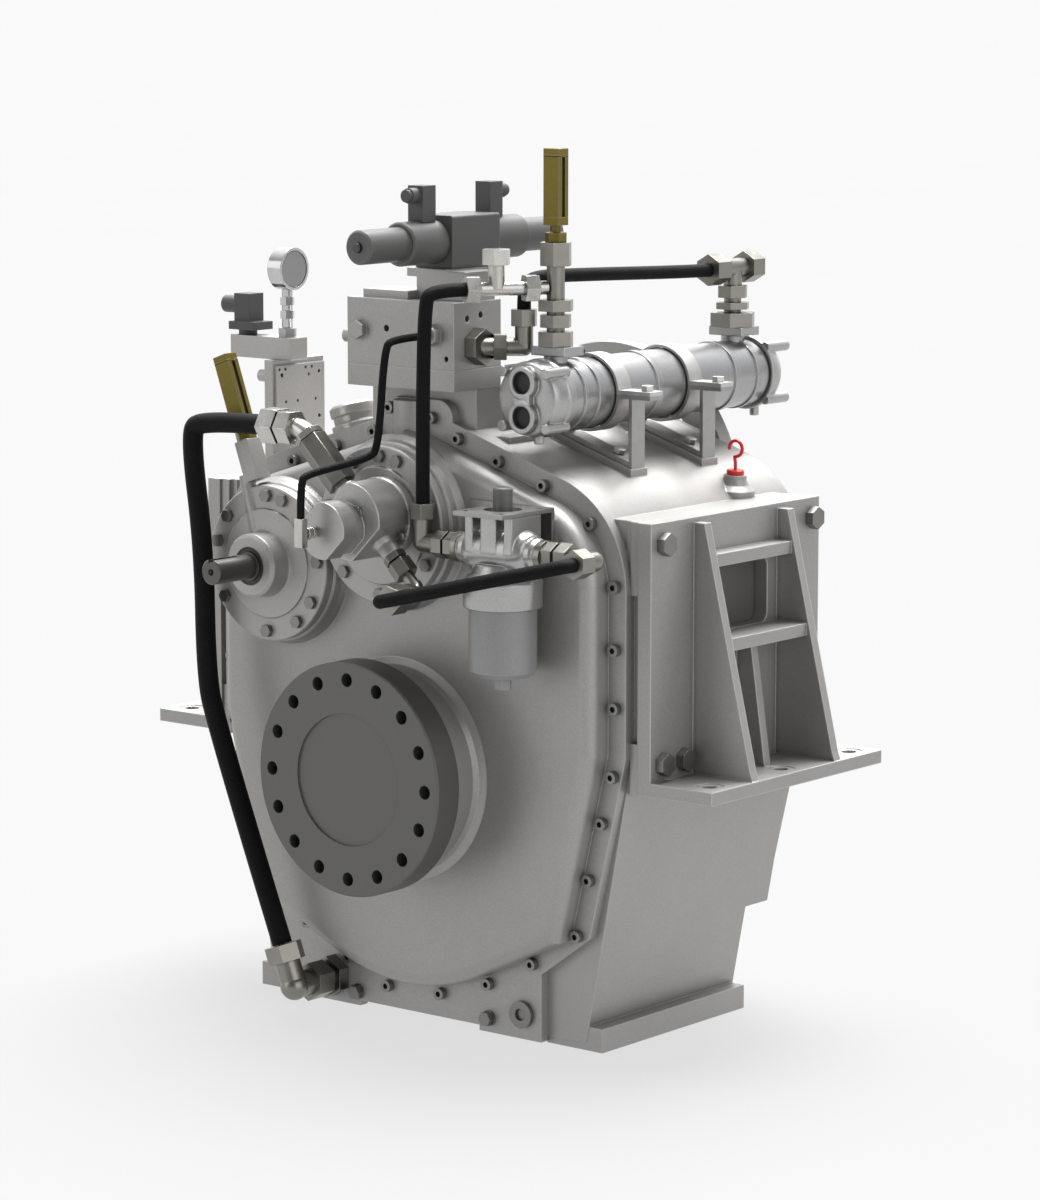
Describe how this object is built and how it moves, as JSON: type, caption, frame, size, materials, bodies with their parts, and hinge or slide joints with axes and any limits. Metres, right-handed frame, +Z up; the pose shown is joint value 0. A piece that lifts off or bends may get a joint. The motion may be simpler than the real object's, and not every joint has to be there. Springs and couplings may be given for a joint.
{
  "type": "marine gearbox",
  "caption": "Marine reduction gearbox with hydraulic clutches, output flange, power take-off, oil pump, filter, cooler and control valve.",
  "frame": {"origin": "centre of the output flange's face", "axes": "+Y through the gearbox towards the engine, +Z up, +X to the right for someone who faces the output flange"},
  "size_m": [1.0542, 0.825, 1.281],
  "materials": {
    "casting": "satin",
    "cover_casting": "satin",
    "bracket_steel": "satin",
    "flange_steel": "dark machined",
    "gear_steel": "ground",
    "bolt_steel": "satin",
    "screw_steel": "blackened",
    "bearing_steel": "ground",
    "seal_rubber": "matt",
    "pump_aluminium": "satin cast",
    "fitting_steel": "plated",
    "hose_rubber": "fine ribbed",
    "filter_grey": "satin",
    "sheet_steel": "plated",
    "cooler_metal": "satin",
    "strap_steel": "satin",
    "gauge_brass": "olive anodised",
    "block_metal": "fine cast",
    "valve_black": "satin",
    "plug_plastic": "matt",
    "button_steel": "turned",
    "gauge_chrome": "polished",
    "dipstick_red": "gloss"
  },
  "bodies": {
    "housing": {"main_casing": "casting", "front_cover": "cover_casting", "rear_cover": "cover_casting", "bell_housing": "casting", "left_bracket": "bracket_steel", "right_bracket": "bracket_steel", "bracket_bolts": "bolt_steel", "rim_screws": "screw_steel", "drain_plugs": "bolt_steel", "pto_cover": "cover_casting", "pump_cover": "cover_casting", "cover_bolts": "bolt_steel", "shaft_seals": "seal_rubber", "shaft_bearings": "bearing_steel", "pump_body": "pump_aluminium", "suction_pump_fitting": "fitting_steel", "suction_casing_fitting": "fitting_steel", "pressure_fitting": "fitting_steel", "pilot_fitting": "fitting_steel", "filter_head": "pump_aluminium", "filter_bowl": "filter_grey", "filter_bracket": "sheet_steel", "filter_fittings": "fitting_steel", "cooler_shell": "cooler_metal", "cooler_end_caps": "cooler_metal", "cooler_stands": "sheet_steel", "cooler_straps": "strap_steel", "cooler_fittings": "fitting_steel", "supply_tee": "fitting_steel", "thermometers": "gauge_brass", "control_base": "block_metal", "control_block": "block_metal", "return_fitting": "fitting_steel", "valve_subplate": "block_metal", "valve_body": "valve_black", "solenoids": "valve_black", "solenoid_plugs": "plug_plastic", "gauge_block": "block_metal", "gauge_manifold": "block_metal", "pressure_gauge": "gauge_chrome", "pressure_switch": "plug_plastic", "breather_cap": "casting", "suction_hose": "hose_rubber", "pilot_hose": "hose_rubber", "filter_outlet_hose": "hose_rubber", "pump_outlet_hose": "hose_rubber", "cooler_return_hose": "hose_rubber"},
    "output": {"output_shaft": "flange_steel", "bull_gear": "gear_steel"},
    "ahead_pinion": {"ahead_pinion": "gear_steel"},
    "astern_pinion": {"astern_pinion": "gear_steel"},
    "input": {"input_shaft": "gear_steel", "ahead_clutch_drum": "gear_steel", "pump_drive_gear": "gear_steel"},
    "astern": {"astern_shaft": "flange_steel", "astern_clutch_drum": "gear_steel"},
    "pump_driven": {"pump_driven_gear": "gear_steel"},
    "dipstick": {"dipstick": "dipstick_red"},
    "front_button": {"front_override_button": "button_steel"},
    "rear_button": {"rear_override_button": "button_steel"}
  },
  "joints": [
    {"name": "output_spin", "type": "hinge", "parent": "housing", "child": "output", "pos_m": [0, 0, 0], "axis": [0, 1, 0], "continuous": true},
    {"name": "input_spin", "type": "hinge", "parent": "housing", "child": "input", "pos_m": [0, 0.3, 0.36], "axis": [0, 1, 0], "continuous": true},
    {"name": "ahead_pinion_spin", "type": "hinge", "parent": "housing", "child": "ahead_pinion", "pos_m": [0, 0.3, 0.36], "axis": [0, 1, 0], "continuous": true},
    {"name": "astern_pinion_spin", "type": "hinge", "parent": "housing", "child": "astern_pinion", "pos_m": [-0.21963, 0.3, 0.28524], "axis": [0, 1, 0], "continuous": true},
    {"name": "astern_spin", "type": "hinge", "parent": "housing", "child": "astern", "pos_m": [-0.21963, 0.3, 0.28524], "axis": [0, 1, 0], "continuous": true},
    {"name": "pump_driven_spin", "type": "hinge", "parent": "housing", "child": "pump_driven", "pos_m": [0.0297, 0.03, 0.3897], "axis": [0, 1, 0], "continuous": true},
    {"name": "dipstick_pull", "type": "slide", "parent": "housing", "child": "dipstick", "axis": [0.0599, 0, 0.9982], "range_m": [0, 0.5]},
    {"name": "front_button_push", "type": "slide", "parent": "housing", "child": "front_button", "axis": [0, 1, 0], "range_m": [0, 0.004], "stiffness_N_per_m": 600, "springref_m": -0.002},
    {"name": "rear_button_push", "type": "slide", "parent": "housing", "child": "rear_button", "axis": [0, -1, 0], "range_m": [0, 0.004], "stiffness_N_per_m": 600, "springref_m": -0.002}
  ],
  "couplings": [
    {"joint": "ahead_pinion_spin", "follows": "output_spin", "ratio": -2.75},
    {"joint": "astern_pinion_spin", "follows": "output_spin", "ratio": -2.75},
    {"joint": "astern_spin", "follows": "input_spin", "ratio": -1},
    {"joint": "pump_driven_spin", "follows": "input_spin", "ratio": -1}
  ]
}
